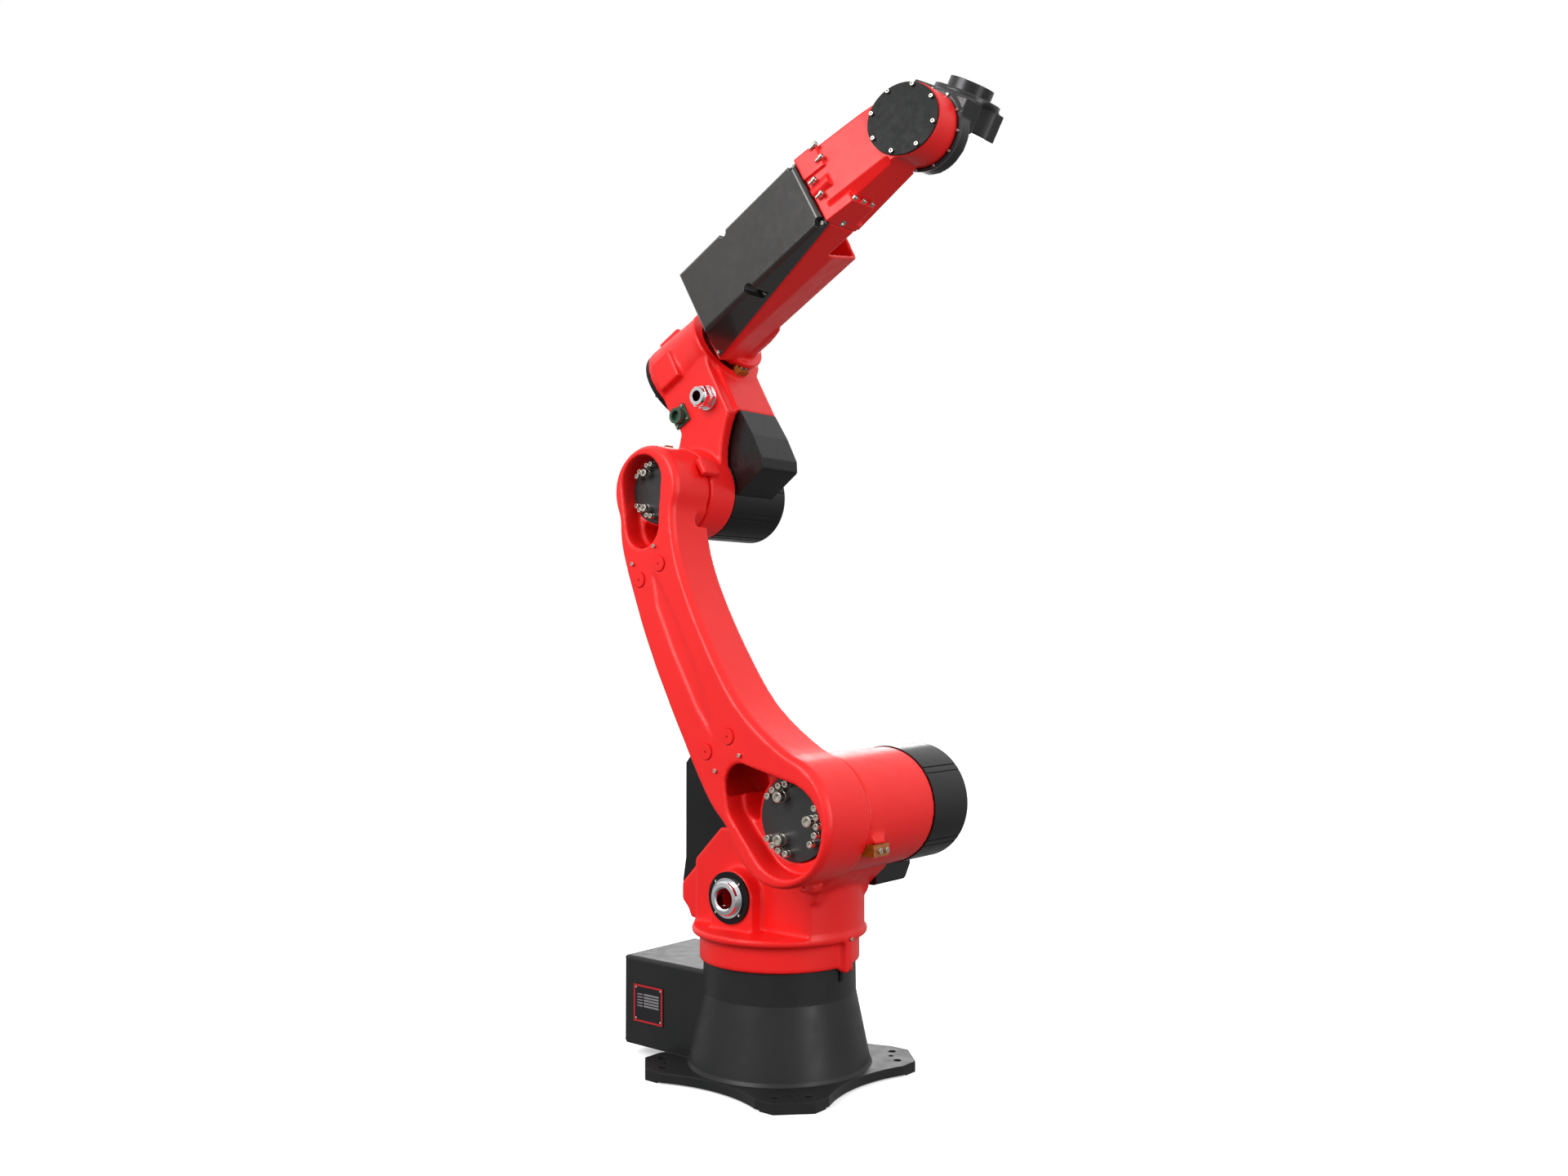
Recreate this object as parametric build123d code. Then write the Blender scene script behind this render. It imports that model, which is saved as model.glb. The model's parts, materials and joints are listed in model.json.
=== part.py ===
from build123d import *
from math import cos, radians, sin, tan
import os

# Floor-standing six-axis industrial robot arm, modelled in its display pose.
# Origin: centre of the base on the floor, on the joint 1 axis. +X points to the robot's
# front, +Y to its left, +Z up. The lower arm hangs on the -Y side of the column.
# All sizes in millimetres.

# ---- driving dimensions ------------------------------------------------------------
A1 = 236.0            # joint 1 axis to joint 2 axis, along X
J2_Z = 620.0          # height of joint 2
ARM_L = 831.0         # joint 2 to joint 3
A3 = 310.0            # joint 3 axis up to the joint 4 axis
J4_FACE = 198.0       # joint 3 to the elbow's front ring, along the forearm
FORE_L = 730.0        # elbow's front ring to joint 5
ARM_LEAN = 30.4       # lower arm leans back from the vertical, degrees
FORE_RISE = 29.5      # forearm rises above the horizontal, degrees
TOOL_RISE = 61.0      # tool axis rises above the horizontal, degrees

BASE_SIDE = 501.0     # square footprint
BASE_CUT = 63.5       # corner cut of the footprint
FOOT_T = 24.0         # base plate thickness
FOOT_STEP = 3.0       # the plate is relieved this much between its feet
BOLT_X, BOLT_Y = 331.0, 431.0   # foot bolt pattern, and the same turned by 90 degrees
DOWEL_PITCH = 369.0   # square of the four dowel holes
BOLT_D, DOWEL_D = 18.0, 12.0
SEAM_Z = 260.0        # joint 1 seam
GAP = 0.5             # running gap between two bodies at a seam
FIT = 0.1             # small gap between pieces of one body

HOUSE_R = 130.0       # joint 2 housing
HOUSE_Y0, HOUSE_Y1 = -148.0, 96.0
ARM_BACK = HOUSE_Y0 - GAP
ARM_FRONT_J2, ARM_FRONT_J3 = -290.0, -262.0
ELBOW_R = 105.0       # joint 3 housing
TUBE_R = 103.5        # joint 4 housing ring
WRIST_R = 80.0        # joint 5 cup
CUP_FAR = -93.0       # far end of the joint 5 cup
CUP_NEAR = -172.0     # cup's near end on the joint 5 axis
CUP_TILT = 13.3       # near face of the wrist leans towards the tip, degrees
FLANGE_R = 50.0       # tool flange, 100 mm
PCD = 80.0            # tool flange bolt circle
PILOT_D = 50.0        # tool flange centring bore

J2 = Vector(A1, 0, J2_Z)
J3 = J2 + Vector(-ARM_L * sin(radians(ARM_LEAN)), 0, ARM_L * cos(radians(ARM_LEAN)))
ARM = Location(tuple(J2), (0, -ARM_LEAN, 0))
ELBOW = Location(tuple(J3), (0, -FORE_RISE, 0))
FORE = ELBOW * Location((J4_FACE, 0, A3))
J5 = (FORE * Location((FORE_L, 0, 0))).position
WRIST = Location(tuple(J5), (0, 90 - TOOL_RISE, 0))


# ---- helpers -------------------------------------------------------------------------
def box(x0, x1, y0, y1, z0, z1):
    return Pos((x0 + x1) / 2, (y0 + y1) / 2, (z0 + z1) / 2) * Box(x1 - x0, y1 - y0, z1 - z0)


def rod_x(r, x0, x1, y=0.0, z=0.0):
    return Pos((x0 + x1) / 2, y, z) * Rot(0, 90, 0) * Cylinder(r, x1 - x0)


def rod_y(r, y0, y1, x=0.0, z=0.0):
    return Pos(x, (y0 + y1) / 2, z) * Rot(90, 0, 0) * Cylinder(r, y1 - y0)


def rod_z(r, z0, z1, x=0.0, y=0.0):
    return Pos(x, y, (z0 + z1) / 2) * Cylinder(r, z1 - z0)


def slab_y(points, y0, y1):
    """A prism along Y over a closed outline of (x, z) points."""
    face = make_face(Polyline([(x, y0, z) for x, z in points], close=True))
    return extrude(face, amount=y1 - y0, dir=(0, 1, 0))


def slab_x(points, x0, x1):
    """A prism along X over a closed outline of (y, z) points."""
    face = make_face(Polyline([(x0, y, z) for y, z in points], close=True))
    return extrude(face, amount=x1 - x0, dir=(1, 0, 0))


def side_plane(y):
    """A drawing plane facing -Y: its own x and y are the world's X and Z."""
    return Plane(origin=(0, y, 0), x_dir=(1, 0, 0), z_dir=(0, -1, 0))


def hull_y(circles, y0, y1):
    """A prism along Y over the taut outline round circles of (x, z, r)."""
    rounds = Sketch() + [Pos(x, z) * Circle(r) for x, z, r in circles]
    face = side_plane(y1) * make_hull(rounds.edges())
    return extrude(face, amount=y1 - y0, dir=(0, -1, 0))


def turned(profile):
    """A solid of revolution about Z over a closed (r, z) outline."""
    face = make_face(Polyline([(r, 0, z) for r, z in profile], close=True))
    return revolve(face, axis=Axis.Z)


def spread(radius, count, start=0.0):
    """Points on a circle in the plane of the first two axes."""
    step = 360 / count
    angles = [radians(start + step * i) for i in range(count)]
    return [(radius * cos(a), radius * sin(a)) for a in angles]


def cap_screw(d, length, head=None):
    """A socket head screw along +Z: the head stands on z = 0 and the shank goes down."""
    head_r = (head or 1.5 * d) / 2
    body = rod_z(head_r, 0, d) + rod_z(d / 2 - 0.1, -length, 0.2)
    rim = body.faces().sort_by(Axis.Z)[-1].edges()
    body = chamfer(rim, d * 0.08)
    socket = Pos(0, 0, d * 0.5) * extrude(RegularPolygon(d * 0.45, 6), d)
    return body - socket


def aimed(shape, at, towards):
    """Turns a shape made along +Z so that it points towards a direction."""
    return Plane(origin=at, z_dir=towards).location * shape


def group(shapes):
    return Compound(children=[s.solid() if len(s.solids()) == 1 else s for s in shapes])


PARTS = {}


def node(name, shape, frame=None):
    PARTS[name] = frame * shape if frame is not None else shape


# ---- base ----------------------------------------------------------------------------
CONE = [(213.0, FOOT_T), (209.0, 32.0), (177.0, 187.5), (176.0, SEAM_Z - 0.4)]
BOX_X0, BOX_X1 = -375.0, -120.0
BOX_Y = 125.0
BOX_Z0, BOX_Z1 = FOOT_T, 232.0
BOX_WALL = 8.0


def base_footprint(z0, z1):
    half, flat = BASE_SIDE / 2, BASE_SIDE / 2 - BASE_CUT
    corners = [(half, flat), (flat, half), (-flat, half), (-half, flat),
               (-half, -flat), (-flat, -half), (flat, -half), (half, -flat)]
    plate = extrude(make_face(Polyline([(x, y, z0) for x, y in corners], close=True)), z1 - z0)
    bite_r, bite_depth = 350.0, 28.5
    centre = half - bite_depth + bite_r
    for turn in range(4):
        a = radians(90 * turn)
        plate -= rod_z(bite_r, z0 - 1, z1 + 1, centre * cos(a), centre * sin(a))
    return plate


def base_casting():
    half, pad_from = BASE_SIDE / 2, 150.0
    plate = base_footprint(FOOT_STEP, FOOT_T)
    pads = base_footprint(0, FOOT_STEP)
    pads -= box(-half, half, -pad_from, pad_from, -1, FOOT_STEP)
    pads -= box(-pad_from, pad_from, -half, half, -1, FOOT_STEP)
    ring = rod_z(205, 0, FOOT_STEP)
    body = turned([(0, FOOT_T - 1), (CONE[0][0], FOOT_T - 1)] + CONE + [(0, CONE[-1][1])])
    shell = box(BOX_X0, BOX_X1, -BOX_Y, BOX_Y, BOX_Z0, BOX_Z1)
    long_edges = shell.edges().filter_by(Axis.X).group_by(Axis.Z)[-1]
    body += fillet(long_edges, 10)
    body += plate + pads + ring
    hollow = turned([(0, -1), (190, -1), (186, 30), (158, 186), (158, 228), (0, 228)])
    body -= hollow
    body -= rod_z(112, 200, 300)
    room_x1 = -150.0
    body -= box(BOX_X0 - 1, room_x1, -BOX_Y + BOX_WALL, BOX_Y - BOX_WALL, BOX_Z0 + BOX_WALL,
                BOX_Z1 - BOX_WALL)
    for sx, sy in ((1, 1), (1, -1), (-1, 1), (-1, -1)):
        for px, py in ((BOLT_X, BOLT_Y), (BOLT_Y, BOLT_X)):
            body -= rod_z(BOLT_D / 2, -1, FOOT_T + 1, sx * px / 2, sy * py / 2)
        body -= rod_z(DOWEL_D / 2, -1, FOOT_T + 1, sx * DOWEL_PITCH / 2, sy * DOWEL_PITCH / 2)
    return body


PANEL_T = 4.0
SIGNAL_Y = 60.0       # signal socket on the rear panel
AIR_Y, AIR_Z = 107.0, (165.0, 121.0)


def panel_screw_places():
    y, z0, z1 = BOX_Y - 7, BOX_Z0 + 7, BOX_Z1 - 7
    return [(y, z0), (y, z1), (-y, z0), (-y, z1), (0, z0), (0, z1)]


def base_parts():
    node("base_casting", base_casting())
    panel = box(BOX_X0 - PANEL_T - FIT, BOX_X0 - FIT, -BOX_Y + 1, BOX_Y - 1, BOX_Z0 + 1, BOX_Z1 - 1)
    panel = fillet(panel.edges().filter_by(Axis.X), 6)
    panel -= box(BOX_X0 - 9, BOX_X0 + 1, -64, 0, 110, 176)
    panel -= rod_x(24, BOX_X0 - 9, BOX_X0 + 1, SIGNAL_Y, 143)
    for z in AIR_Z:
        panel -= rod_x(8.5, BOX_X0 - 9, BOX_X0 + 1, AIR_Y, z)
    screws = []
    for y, z in panel_screw_places():
        panel -= rod_x(2.3, BOX_X0 - 9, BOX_X0 + 1, y, z)
        face = (BOX_X0 - PANEL_T - FIT - 0.05, y, z)
        screws.append(aimed(cap_screw(4, 4, 7.5), face, (-1, 0, 0)))
    node("rear_panel", panel)
    node("rear_panel_screws", group(screws))
    x_out = BOX_X0 - PANEL_T - FIT
    power = box(x_out - 42, BOX_X0 + 12, -63.5, -0.5, 110.5, 175.5)
    power = fillet(power.edges().filter_by(Axis.X), 5)
    power += box(x_out - 6, x_out - 0.1, -71, 7, 103, 183)
    power -= box(x_out - 43, x_out - 14, -56, -8, 118, 168)
    node("power_socket", power)
    signal = rod_x(23.8, BOX_X0 - PANEL_T - 1, BOX_X0 + 12, SIGNAL_Y, 143)
    signal += box(x_out - 5, x_out - 0.1, SIGNAL_Y - 30, SIGNAL_Y + 30, 113, 173)
    signal += rod_x(22, x_out - 30, x_out - 4, SIGNAL_Y, 143)
    signal -= rod_x(18, x_out - 31, x_out - 10, SIGNAL_Y, 143)
    node("signal_socket", signal)
    fittings = []
    for z in AIR_Z:
        fit = rod_x(8.3, BOX_X0 - PANEL_T - 1, BOX_X0 + 10, AIR_Y, z)
        fit += Pos(x_out - 6, AIR_Y, z) * Rot(0, 90, 0) * extrude(RegularPolygon(12, 6), 5.9)
        fit += rod_x(7, x_out - 22, x_out - 5, AIR_Y, z)
        fittings.append(fit - rod_x(3.5, x_out - 23, BOX_X0 + 11, AIR_Y, z))
    node("air_fittings", group(fittings))
    plate_y = -BOX_Y - FIT
    plate = box(-350, -252, plate_y - 2, plate_y, 79, 170)
    plate = fillet(plate.edges().filter_by(Axis.Y), 2)
    node("nameplate", plate)
    reducer = rod_z(111.8, 203, SEAM_Z + 8) - rod_z(45, 200, 300)
    reducer += rod_z(140, SEAM_Z + 0.2, SEAM_Z + 8) - rod_z(45, 200, 300)
    node("j1_reducer", reducer)
    node("j1_zero_key", box(177, 180.3, -5, 5, SEAM_Z - 30, SEAM_Z - 4))


# ---- column --------------------------------------------------------------------------
RING_R, RING_TOP = 185.0, 319.5
DISC_R, DISC_TOP = 203.0, 337.3
GLAND_X, GLAND_Z, GLAND_Y = -27.0, 412.0, -144.0
COVER_SLOPE = ((-235.0, 416.0), (-100.0, 551.0))
TRUNK_R = 199.0
TRUNK_Y0 = -104.0     # near face of the trunk


def column_disc():
    """The turning ring above joint 1, with the wider disc on top and its zero block in front."""
    ring = rod_z(RING_R, SEAM_Z + 0.4, RING_TOP + 1)
    ring = fillet(ring.edges().group_by(Axis.Z)[0], 4)
    disc = rod_z(DISC_R, RING_TOP, DISC_TOP)
    disc = fillet(disc.edges().group_by(Axis.Z)[0], 7)
    block = box(RING_R - 4, DISC_R + 1, -13, 13, SEAM_Z - 8, DISC_TOP - 1)
    block -= box(RING_R - 5, DISC_R + 2, -2, 7, SEAM_Z - 9, SEAM_Z + 2)
    return ring + disc + block


def trunk_flare():
    """The outline that widens from the trunk into the underside of the joint 2 housing."""
    curve = ThreePointArc((184, 0, 415), (205, 0, 461), (252, 0, 491))
    back = Polyline((252, 0, 491), (252, 0, 590), (60, 0, 590), (60, 0, 415), (184, 0, 415))
    face = make_face([curve, back])
    return extrude(Pos(0, TRUNK_Y0, 0) * face, amount=HOUSE_Y1 - TRUNK_Y0, dir=(0, 1, 0))


def column_casting():
    trunk = rod_z(TRUNK_R, DISC_TOP - 1, 560)
    profile = [(-236, DISC_TOP - 1), (-236, 416), (-100, 552), (-8, 644), (120, 690),
               (350, 690), (350, 470), (215, 400), (215, DISC_TOP - 1)]
    trunk = trunk & slab_y(profile, TRUNK_Y0, HOUSE_Y1)
    tail = slab_y([(-205, DISC_TOP - 1), (-214, 356), (-235, 378), (-235, 416), (-100, 552),
                   (-20, 552), (-20, DISC_TOP - 1)], -82, 82)
    bridge = slab_y([(-60, 500), (-8, 644), (120, 700), (236, 700), (236, 480), (150, 400)],
                    TRUNK_Y0, HOUSE_Y1)
    housing = rod_y(HOUSE_R, HOUSE_Y0, HOUSE_Y1, A1, J2_Z)
    lower = Pos(50, 0, 440) * Rectangle(220, 180)
    waist = loft([lower, Pos(A1 - 20, -26, 590) * Rectangle(200, 240)])
    boss = rod_y(62, GLAND_Y, -60, GLAND_X, GLAND_Z)
    boss += box(GLAND_X - 62, GLAND_X + 62, GLAND_Y, -60, DISC_TOP - 1, GLAND_Z)
    lug = slab_y([(160, 444), (205, 444), (205, 470), (160, 470)], -134, -80)
    lug = fillet(lug.edges().filter_by(Axis.Y), 10) - rod_y(5, -135, -120, 176, 457)
    stop = slab_y([(318, 540), (339.9, 540), (339.9, 566), (372, 566), (360, 596), (330, 600)],
                  -136, -96)
    body = column_disc() + trunk + trunk_flare() + tail + bridge + housing + waist + boss + lug + stop
    body -= rod_x(3.1, 190, DISC_R + 2, 0, 327)
    body -= rod_z(150, SEAM_Z - 10, SEAM_Z + 30)
    body -= rod_z(86, SEAM_Z, 470)
    body -= rod_y(113, HOUSE_Y0 - 1, -66, A1, J2_Z)
    body -= rod_y(62, -70, -48, A1, J2_Z)
    body -= rod_y(112, -50, HOUSE_Y1 + 1, A1, J2_Z)
    body -= rod_y(36, GLAND_Y - 1, -50, GLAND_X, GLAND_Z)
    body -= box(-190, -60, -62, 62, 372, 700)
    body -= box(-61, 90, -66, 66, 350, 560)
    body -= rod_z(TRUNK_R - 12, 346, 478) & box(-50, 190, TRUNK_Y0 + 12, HOUSE_Y1 - 12, 346, 478)
    return body


def cable_gland(bore_r, hex_r):
    """A metal cable gland along +Z that stands on z = 0 over a hole of radius bore_r."""
    body = rod_z(bore_r - 0.3, -6, 0.2) + rod_z(hex_r, 0, 6)
    body += extrude(Pos(0, 0, 5.5) * RegularPolygon(hex_r, 6), 11)
    body += rod_z(hex_r - 5, 16, 22) + extrude(Pos(0, 0, 21.5) * RegularPolygon(hex_r - 2, 6), 13)
    body += turned([(0, 34), (hex_r - 6, 34), (hex_r - 8, 42), (0, 42)])
    return body - rod_z(bore_r - 7, -7, 43)


def motor_cover(radius, y0, y1, grooves, x, z):
    """A cup over a motor, open at y0, with pairs of grooves along it."""
    cup = rod_y(radius, y0, y1)
    cup = fillet(cup.edges().group_by(Axis.Y)[-1], 8)
    for angle in grooves:
        for side in (-3.5, 3.5):
            groove = Pos(radius, (y0 + y1) / 2, 0) * Box(5, y1 - y0 + 2, 4)
            cup -= Rot(0, -angle - side, 0) * groove
    cup -= rod_y(radius - 6, y0 - 1, y1 - 5)
    return Pos(x, 0, z) * cup


def gland_set():
    """Plate, screws and cable gland on the column's near boss."""
    y_plate = GLAND_Y - FIT
    plate = rod_y(58.5, y_plate - 6, y_plate, GLAND_X, GLAND_Z)
    plate -= rod_y(30.2, y_plate - 7, y_plate + 1, GLAND_X, GLAND_Z)
    screws = []
    for u, w in spread(49, 4, 45):
        plate -= rod_y(2.4, y_plate - 7, y_plate + 1, GLAND_X + u, GLAND_Z + w)
        at = (GLAND_X + u, y_plate - 6.05, GLAND_Z + w)
        screws.append(aimed(cap_screw(4, 5.5), at, (0, -1, 0)))
    node("gland_plate", plate)
    node("gland_plate_screws", group(screws))
    ring = turned([(23, -6), (29.7, -6), (29.7, 0), (45, 0), (45, 5), (39, 5), (39, 12), (36, 16), (27, 17), (23, 14)])
    gland = aimed(ring, (GLAND_X, y_plate - 6.1, GLAND_Z), (0, -1, 0))
    node("column_cable_gland", gland)


def j1_drive():
    motor = box(-180, -70, -55, 55, 400, 560) + box(-172, -78, -47, 47, 559, 640)
    motor += box(-100, -74, -22, 22, 580, 620) + box(-189.9, -60.1, -61.9, 61.9, 372.1, 401)
    node("j1_motor", motor)
    (x0, z0), (x1, z1) = COVER_SLOPE
    top, wall = 740, 4
    outline = [(x0, z0 + 1.5), (x1, z1 + 1.5), (x1 + 40, z1 + 41.5), (x1 + 40, top), (x0 + 45, top),
               (x0 + 10, 700), (x0 + 10, z0 + 60)]
    room = [(x0 + wall, z0 - 20), (x1 + 36, z1), (x1 + 36, top - wall), (x0 + 47, top - wall),
            (x0 + 10 + wall, 698), (x0 + 10 + wall, z0 + 60)]
    cover = slab_y(outline, -77, 77)
    cover = fillet(cover.edges().filter_by(Axis.Y).sort_by(Axis.Z)[-2:], 8)
    node("j1_motor_cover", cover - slab_y(room, -77 + wall, 77 - wall))


def j2_drive():
    reducer = rod_y(112.8, HOUSE_Y0 + 1, -67, A1, J2_Z)
    node("j2_reducer", reducer - rod_y(22, HOUSE_Y0, -66, A1, J2_Z))
    motor = rod_y(61, -66.8, -10, A1, J2_Z)
    motor += box(A1 - 65, A1 + 65, -48, 60, J2_Z - 65, J2_Z + 65)
    motor += box(A1 - 60, A1 + 60, 59, 200, J2_Z - 60, J2_Z + 60)
    node("j2_motor", motor)
    node("j2_motor_cover", motor_cover(132, HOUSE_Y1 + FIT, 235, (-38, 38, 142, 218), A1, J2_Z))
    below = slab_x([(96.5, 432), (210, 432), (233, 466), (233, 540), (96.5, 540)], 104, 206)
    below = fillet(below.edges().filter_by(Axis.Y).group_by(Axis.Z)[0], 8)
    below -= rod_y(132.4, 90, 240, A1, J2_Z)
    node("j2_connector_cover", below)
    bumper = box(340, 372, -144, -88, 540, 565.8) - rod_y(HOUSE_R + 0.3, -150, -80, A1, J2_Z)
    screws = []
    for y in (-128, -104):
        bumper -= rod_x(4.2, 339, 373, y, 553)
        screws.append(aimed(cap_screw(8, 14), (372.05, y, 553), (1, 0, 0)))
    node("j2_bumper", bumper)
    node("j2_bumper_screws", group(screws))


def column_parts():
    node("column_casting", column_casting())
    node("j1_zero_screw", aimed(cap_screw(6, 8), (DISC_R + 1.05, 0, 327), (1, 0, 0)))
    gland_set()
    j1_drive()
    j2_drive()


# ---- lower arm -----------------------------------------------------------------------
ARM_FRONT_EDGE = [(98, 92), (56, 160), (20, 250), (3, 370), (0, 480), (5, 580), (27, 685), (60, 750),
                  (95, 798)]
ARM_REAR_EDGE = [(-103, 838), (-121, 786), (-148, 670), (-162, 560), (-171, 384), (-170, 227),
                 (-158, 93), (-146, 10)]
PLATE_Y2, PLATE_Y3 = -237.0, -218.0     # near faces of the two output plates
COLLAR = 13.0          # washer stack under the output plates' screws
LIP_Y2, LIP_Y3 = -267.0, -246.0         # back of the lip round each pocket
POCKET_2 = [(0, -22, 99), (-72, 75, 47), (-62, 115, 43)]
POCKET_3 = [(-2.6, 852, 63), (-47.7, 761.6, 51)]
PLUGS = [(-42, 655), (-113, 656), (-43, 218), (-115, 219)]
STOP_Y0 = -184.0      # near end of the elbow's stop block
ARM_SCREWS = [(-34, 698), (-112, 699), (-30, 167), (-108, 170)]


def arm_front(z):
    """The near face of the lower arm at a height along it."""
    return ARM_FRONT_J2 + (ARM_FRONT_J3 - ARM_FRONT_J2) * z / ARM_L


def behind_front(offset):
    """A block that fills everything behind the arm's sloping near face, moved back by offset."""
    reach = 1200
    return slab_x([(arm_front(-reach) + offset, -reach), (arm_front(reach) + offset, reach),
                   (0, reach), (0, -reach)], -400, 400)


def arm_blade():
    """The long shallow recess on the near face, pointed at its upper end."""
    points = [(-67, 662), (-60, 594), (-54, 461), (-59, 343), (-81, 230), (-96, 313), (-100, 458), (-95, 575)]
    deep = slab_y(points, -400, -200)
    return deep - behind_front(3.5)


def arm_casting():
    top = ThreePointArc(ARM_FRONT_EDGE[-1], (0, ARM_L + 103), ARM_REAR_EDGE[0])
    bottom = ThreePointArc(ARM_REAR_EDGE[-1], (-5, -138), ARM_FRONT_EDGE[0])
    front = Spline(ARM_FRONT_EDGE, tangents=[bottom % 1, top % 0])
    rear = Spline(ARM_REAR_EDGE, tangents=[top % 1, bottom % 0])
    outline = make_face([front, top, rear, bottom])
    body = extrude(side_plane(ARM_BACK) * outline, ARM_BACK - ARM_FRONT_J2 + 10)
    body = body & behind_front(0)
    face = body.faces().sort_by(Axis.Y)[0]
    body = chamfer(face.outer_wire().edges(), 14, 8)
    body -= arm_blade()
    hollow = slab_y([(-70, 750), (-12, 650), (-24, 480), (-16, 320), (14, 190), (36, 120), (-120, 110),
                     (-146, 230), (-148, 400), (-138, 570), (-115, 690)], -400, ARM_BACK - 10)
    body -= hollow & behind_front(12)
    body -= hull_y(POCKET_2, -320, PLATE_Y2 + 4) + hull_y(POCKET_3, -320, PLATE_Y3 + 4)
    body -= hull_y([(-74, 73, 38), (-62, 115, 34)], -320, ARM_BACK - 10) - rod_y(101, -320, 0)
    body -= hull_y([(-58, 768, 30), (-49, 757, 40)], -320, ARM_BACK - 10) - rod_y(82, -320, 0, 0, ARM_L)
    body -= rod_y(96, LIP_Y2, PLATE_Y2 + 4) + rod_y(90.2, PLATE_Y2, ARM_BACK + 1)
    body -= rod_y(76, LIP_Y3, ARM_BACK + 1, 0, ARM_L)
    relief = rod_y(124, STOP_Y0 - 2, ARM_BACK + 1, 0, ARM_L) - rod_y(103.8, -200, 0, 0, ARM_L)
    body -= relief & box(-14, 130, -200, 0, ARM_L - 130, ARM_L - 40)
    for x, z in ARM_SCREWS:
        body -= rod_y(3.1, -320, arm_front(z) + 18, x, z)
    for x, z in PLUGS:
        body -= rod_y(14.2, -320, arm_front(z) + 12, x, z)
    return body


def collar_screws(radius, angles, d, y, z):
    """A ring of screws on an output plate, each standing on its washer stack."""
    screw = Pos(0, 0, COLLAR) * cap_screw(d, 12 + COLLAR) + rod_z(0.78 * d, 0, COLLAR)
    ring = []
    for angle in angles:
        at = (radius * cos(radians(angle)), y, z + radius * sin(radians(angle)))
        ring.append(aimed(screw, at, (0, -1, 0)))
    return ring


def output_plate(name, y, z, r, big, small):
    """A gearbox output plate in its pocket, with its two rings of screws.

    big and small are (screw diameter, ring radius, angles) for the two rings.
    """
    plate = rod_y(r, y, y + 13.9, 0, z) + rod_y(r - 24, y + 13, ARM_BACK - 0.5, 0, z)
    screws = []
    for d, ring_r, angles in (big, small):
        screws += collar_screws(ring_r, angles, d, y - 0.05, z)
        for angle in angles:
            a = radians(angle)
            plate -= rod_y(d / 2, y - 1, y + 13, ring_r * cos(a), z + ring_r * sin(a))
    node(name + "_output_plate", plate, ARM)
    node(name + "_plate_screws", group(screws), ARM)


def arm_parts():
    node("lower_arm_casting", arm_casting(), ARM)
    plugs = []
    for x, z in PLUGS:
        y = arm_front(z)
        plug = rod_y(17, y - 3, y - 0.4, x, z) + rod_y(14, y - 0.5, y + 11.8, x, z)
        plugs.append(plug - rod_y(2.2, y - 4, y + 3, x, z))
    node("arm_plugs", group(plugs), ARM)
    screws = [aimed(cap_screw(6, 16), (x, arm_front(z) - 0.4, z), (0, -1, 0)) for x, z in ARM_SCREWS]
    node("arm_screws", group(screws), ARM)
    thirds = [angle - ARM_LEAN for angle in (0, 120, 240)]
    fours = [c + step for c in thirds for step in (-22.5, -7.5, 7.5, 22.5)]
    output_plate("j2", PLATE_Y2, 0, 90.0, (16, 52, thirds), (10, 73, fours + [-ARM_LEAN - 40]))
    fives = [c + step for c in thirds for step in (-25, -12.5, 12.5, 25)]
    output_plate("j3", PLATE_Y3, ARM_L, 75.8, (12, 47, thirds), (8, 60, fives))
    top = Location((0, 0, ARM_L), (0, 14, 0))
    strip = box(-22, 22, -182, -158, 103.5, 108) - rod_z(2.6, 90, 120, 0, -170)
    node("j3_bumper", top * strip, ARM)
    node("j3_bumper_screw", top * (Pos(0, -170, 108.05) * cap_screw(5, 4)), ARM)


# ---- elbow ---------------------------------------------------------------------------
ELBOW_NEAR, ELBOW_FAR = -95.0, 70.0
TUBE_X0 = 27.0
ELBOW_GLAND = (150.0, 174.0)


def elbow_casting():
    housing = rod_y(ELBOW_R, HOUSE_Y0 + 0.5, -65)
    web = slab_y([(-60, 60), (-30, 108), (12, 128), (34, 150), (36, 176), (27, 205), (27, 300),
                  (196, 300), (188, 233), (188, 112), (176, 101), (160, 88), (143, 71), (127, 53), (114, 34),
                  (104, 15), (95, -6), (86, -26), (60, -40)],
                 ELBOW_NEAR, -66)
    back = slab_y([(-10, 112), (12, 128), (34, 150), (36, 176), (27, 205), (27, 300), (196, 300),
                   (196, 112), (60, 112)], -70, ELBOW_FAR)
    tube = Pos(TUBE_X0, 0, A3) * Rot(0, 90, 0) * Cone(109, TUBE_R - 2, J4_FACE - TUBE_X0 - 12,
                                                     align=(Align.CENTER, Align.CENTER, Align.MIN))
    ring = rod_x(TUBE_R, J4_FACE - 13, J4_FACE, 0, A3)
    stop = box(105, 121, STOP_Y0, -140, -26, 16) + box(90, 121, HOUSE_Y0 + 1, -128, -26, 16)
    stop = fillet(stop.edges().filter_by(Axis.Y).group_by(Axis.X)[-1], 3)
    body = housing + web + back + tube + ring + stop
    body += box(42, 112, -113, -60, A3 - 42, A3 + 34)
    body += box(42, 112, -40, 40, A3 + 60, A3 + 113)
    body -= rod_x(92, TUBE_X0 - 1, J4_FACE - 50, 0, A3)
    body -= rod_x(76, TUBE_X0 - 1, J4_FACE + 1, 0, A3)
    body -= rod_y(92, HOUSE_Y0 - 1, -80) + rod_y(62, -81, -60)
    body -= box(70, 160, -75, 50, 125, 240)
    body -= rod_y(20, -120, -60, *ELBOW_GLAND) + rod_y(14, -120, -60, 56, 187)
    return body


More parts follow.
